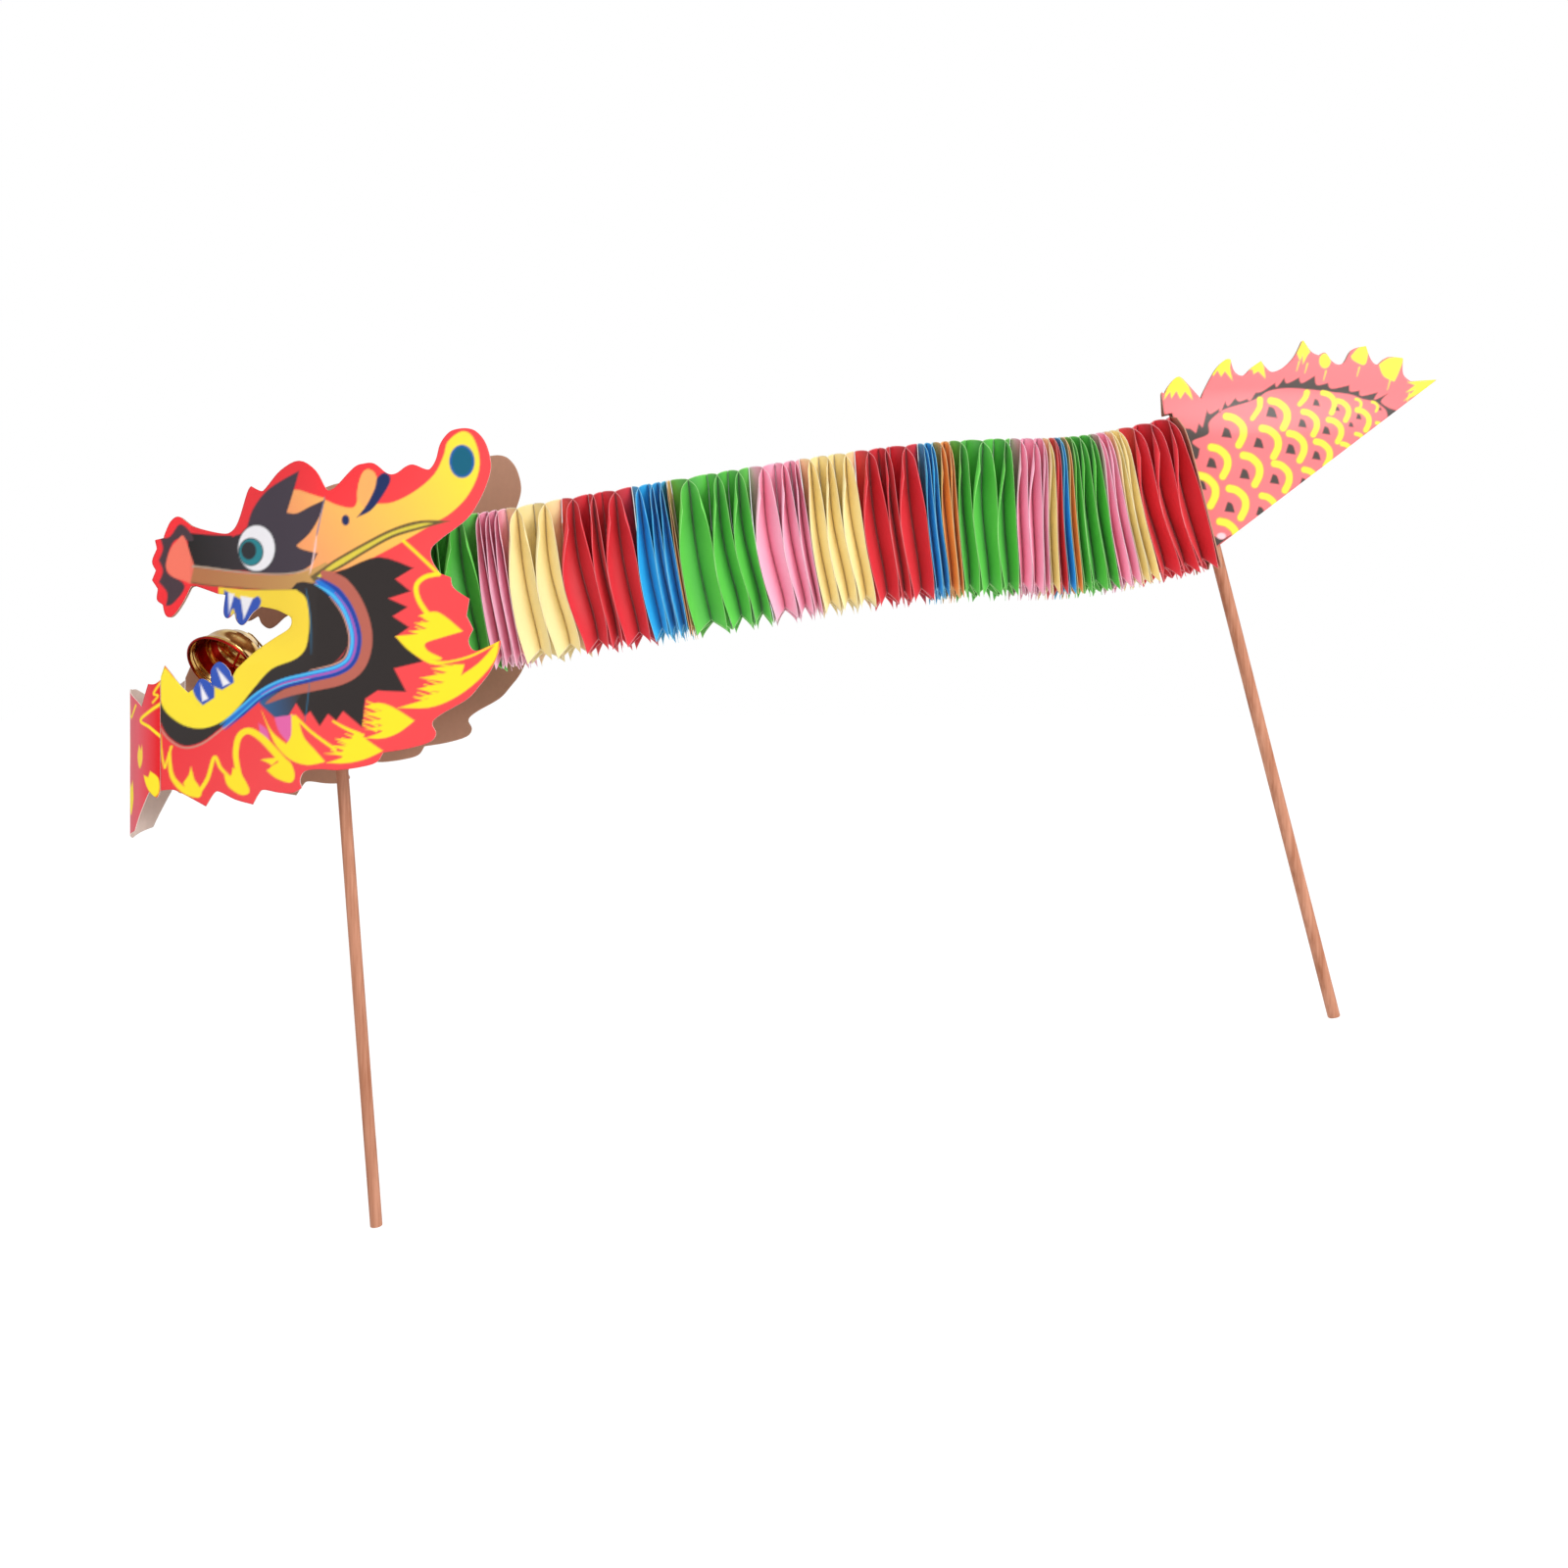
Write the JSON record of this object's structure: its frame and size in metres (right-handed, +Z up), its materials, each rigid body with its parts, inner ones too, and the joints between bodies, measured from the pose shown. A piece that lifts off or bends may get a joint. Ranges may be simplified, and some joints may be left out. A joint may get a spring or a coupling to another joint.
{
  "type": "paper dragon hand puppet",
  "caption": "Printed card dragon head and tail on wooden sticks, joined by a pull-out folded paper garland body, with a small brass bell in the mouth.",
  "frame": {"origin": "centre of the head stick's lower end face", "axes": "+X from the head towards the tail, +Y to the dragon's right, +Z up, in the pose the puppet is held in"},
  "size_m": [0.7038, 0.075, 0.4782],
  "materials": {
    "printed_head": "gloss laminate",
    "printed_tail": "gloss laminate",
    "kraft": "matte",
    "stick": "plain",
    "brass": "polished",
    "clapper": "dull",
    "tape": "foam tape",
    "paper_green": "tissue paper",
    "paper_pink": "tissue paper",
    "paper_yellow": "tissue paper",
    "paper_red": "tissue paper",
    "paper_blue": "tissue paper",
    "paper_orange": "tissue paper"
  },
  "bodies": {
    "head": {"head_stick": "stick", "head_panel_left": "printed_head", "head_panel_right": "printed_head", "chin_band": "printed_head", "chin_tape_left": "tape", "chin_tape_right": "tape", "nose_pad": "tape", "stick_brace": "kraft", "neck_brace": "kraft", "stick_pad": "tape", "bell_shell": "brass", "bell_loop": "brass", "bell_wire": "brass", "garland_front_card": "kraft"},
    "clapper": {"bell_clapper": "clapper"},
    "garland_section_01": {"garland_01_green": "paper_green", "garland_02_pink": "paper_pink"},
    "garland_section_03": {"garland_03_yellow": "paper_yellow"},
    "garland_section_04": {"garland_04_red": "paper_red"},
    "garland_section_05": {"garland_05_blue": "paper_blue", "garland_06_orange": "paper_orange"},
    "garland_section_07": {"garland_07_green": "paper_green"},
    "garland_section_08": {"garland_08_pink": "paper_pink"},
    "garland_section_09": {"garland_09_yellow": "paper_yellow"},
    "garland_section_10": {"garland_10_red": "paper_red", "garland_11_blue": "paper_blue", "garland_12_orange": "paper_orange"},
    "garland_section_13": {"garland_13_green": "paper_green"},
    "garland_section_14": {"garland_14_pink": "paper_pink", "garland_15_yellow": "paper_yellow", "garland_16_red": "paper_red", "garland_17_blue": "paper_blue", "garland_18_orange": "paper_orange"},
    "garland_section_19": {"garland_19_green": "paper_green", "garland_20_pink": "paper_pink", "garland_21_yellow": "paper_yellow"},
    "garland_section_22": {"garland_22_red": "paper_red", "garland_rear_card": "kraft", "tail_card": "printed_tail", "tail_pad": "tape", "tail_stick": "stick"}
  },
  "joints": [
    {"name": "clapper_swing", "type": "hinge", "parent": "head", "child": "clapper", "pos_m": [-0.07775, 0.01355, 0.31405], "axis": [0.9397, 0, -0.342], "range_deg": [-82, 0]},
    {"name": "bend_01_green", "type": "hinge", "parent": "head", "child": "garland_section_01", "pos_m": [0.04786, 0, 0.34], "axis": [0, 1, 0], "range_deg": [-12, 12], "deforming": ["garland_01_green"]},
    {"name": "sway_03_yellow", "type": "hinge", "parent": "garland_section_01", "child": "garland_section_03", "pos_m": [0.09252, 0, 0.34726], "axis": [-0.1732, 0, 0.9849], "range_deg": [-12, 12], "deforming": ["garland_03_yellow"]},
    {"name": "stretch_04_red", "type": "slide", "parent": "garland_section_03", "child": "garland_section_04", "axis": [0.9855, 0, 0.1695], "range_m": [-0.028, 0.014], "deforming": ["garland_04_red"]},
    {"name": "stretch_05_blue", "type": "slide", "parent": "garland_section_04", "child": "garland_section_05", "axis": [0.9861, 0, 0.166], "range_m": [-0.014, 0.007], "deforming": ["garland_05_blue"]},
    {"name": "sway_07_green", "type": "hinge", "parent": "garland_section_05", "child": "garland_section_07", "pos_m": [0.18691, 0, 0.36333], "axis": [-0.162, 0, 0.9868], "range_deg": [-12, 12], "deforming": ["garland_07_green"]},
    {"name": "bend_08_pink", "type": "hinge", "parent": "garland_section_07", "child": "garland_section_08", "pos_m": [0.22146, 0, 0.36892], "axis": [0, 1, 0], "range_deg": [-12, 12], "deforming": ["garland_08_pink"]},
    {"name": "stretch_09_yellow", "type": "slide", "parent": "garland_section_08", "child": "garland_section_09", "axis": [0.9896, 0, 0.1438], "range_m": [-0.021, 0.0105], "deforming": ["garland_09_yellow"]},
    {"name": "sway_10_red", "type": "hinge", "parent": "garland_section_09", "child": "garland_section_10", "pos_m": [0.2801, 0, 0.37736], "axis": [-0.1224, 0, 0.9925], "range_deg": [-12, 12], "deforming": ["garland_10_red"]},
    {"name": "bend_13_green", "type": "hinge", "parent": "garland_section_10", "child": "garland_section_13", "pos_m": [0.32768, 0, 0.38127], "axis": [0, 1, 0], "range_deg": [-12, 12], "deforming": ["garland_13_green"]},
    {"name": "stretch_14_pink", "type": "slide", "parent": "garland_section_13", "child": "garland_section_14", "axis": [1, 0, 0.0064], "range_m": [-0.0112, 0.0056], "deforming": ["garland_14_pink"]},
    {"name": "sway_19_green", "type": "hinge", "parent": "garland_section_14", "child": "garland_section_19", "pos_m": [0.38261, 0, 0.38338], "axis": [-0.1129, 0, 0.9936], "range_deg": [-12, 12], "deforming": ["garland_19_green"]},
    {"name": "bend_22_red", "type": "hinge", "parent": "garland_section_19", "child": "garland_section_22", "pos_m": [0.42385, 0, 0.39121], "axis": [0, 1, 0], "range_deg": [-12, 12], "deforming": ["garland_22_red"]}
  ],
  "couplings": [
    {"joint": "bend_08_pink", "follows": "bend_01_green", "ratio": 1},
    {"joint": "sway_07_green", "follows": "sway_03_yellow", "ratio": 1},
    {"joint": "stretch_05_blue", "follows": "stretch_04_red", "ratio": 0.5},
    {"joint": "stretch_09_yellow", "follows": "stretch_04_red", "ratio": 0.75},
    {"joint": "stretch_14_pink", "follows": "stretch_04_red", "ratio": 0.4},
    {"joint": "sway_19_green", "follows": "sway_10_red", "ratio": 1},
    {"joint": "bend_22_red", "follows": "bend_13_green", "ratio": 1}
  ]
}
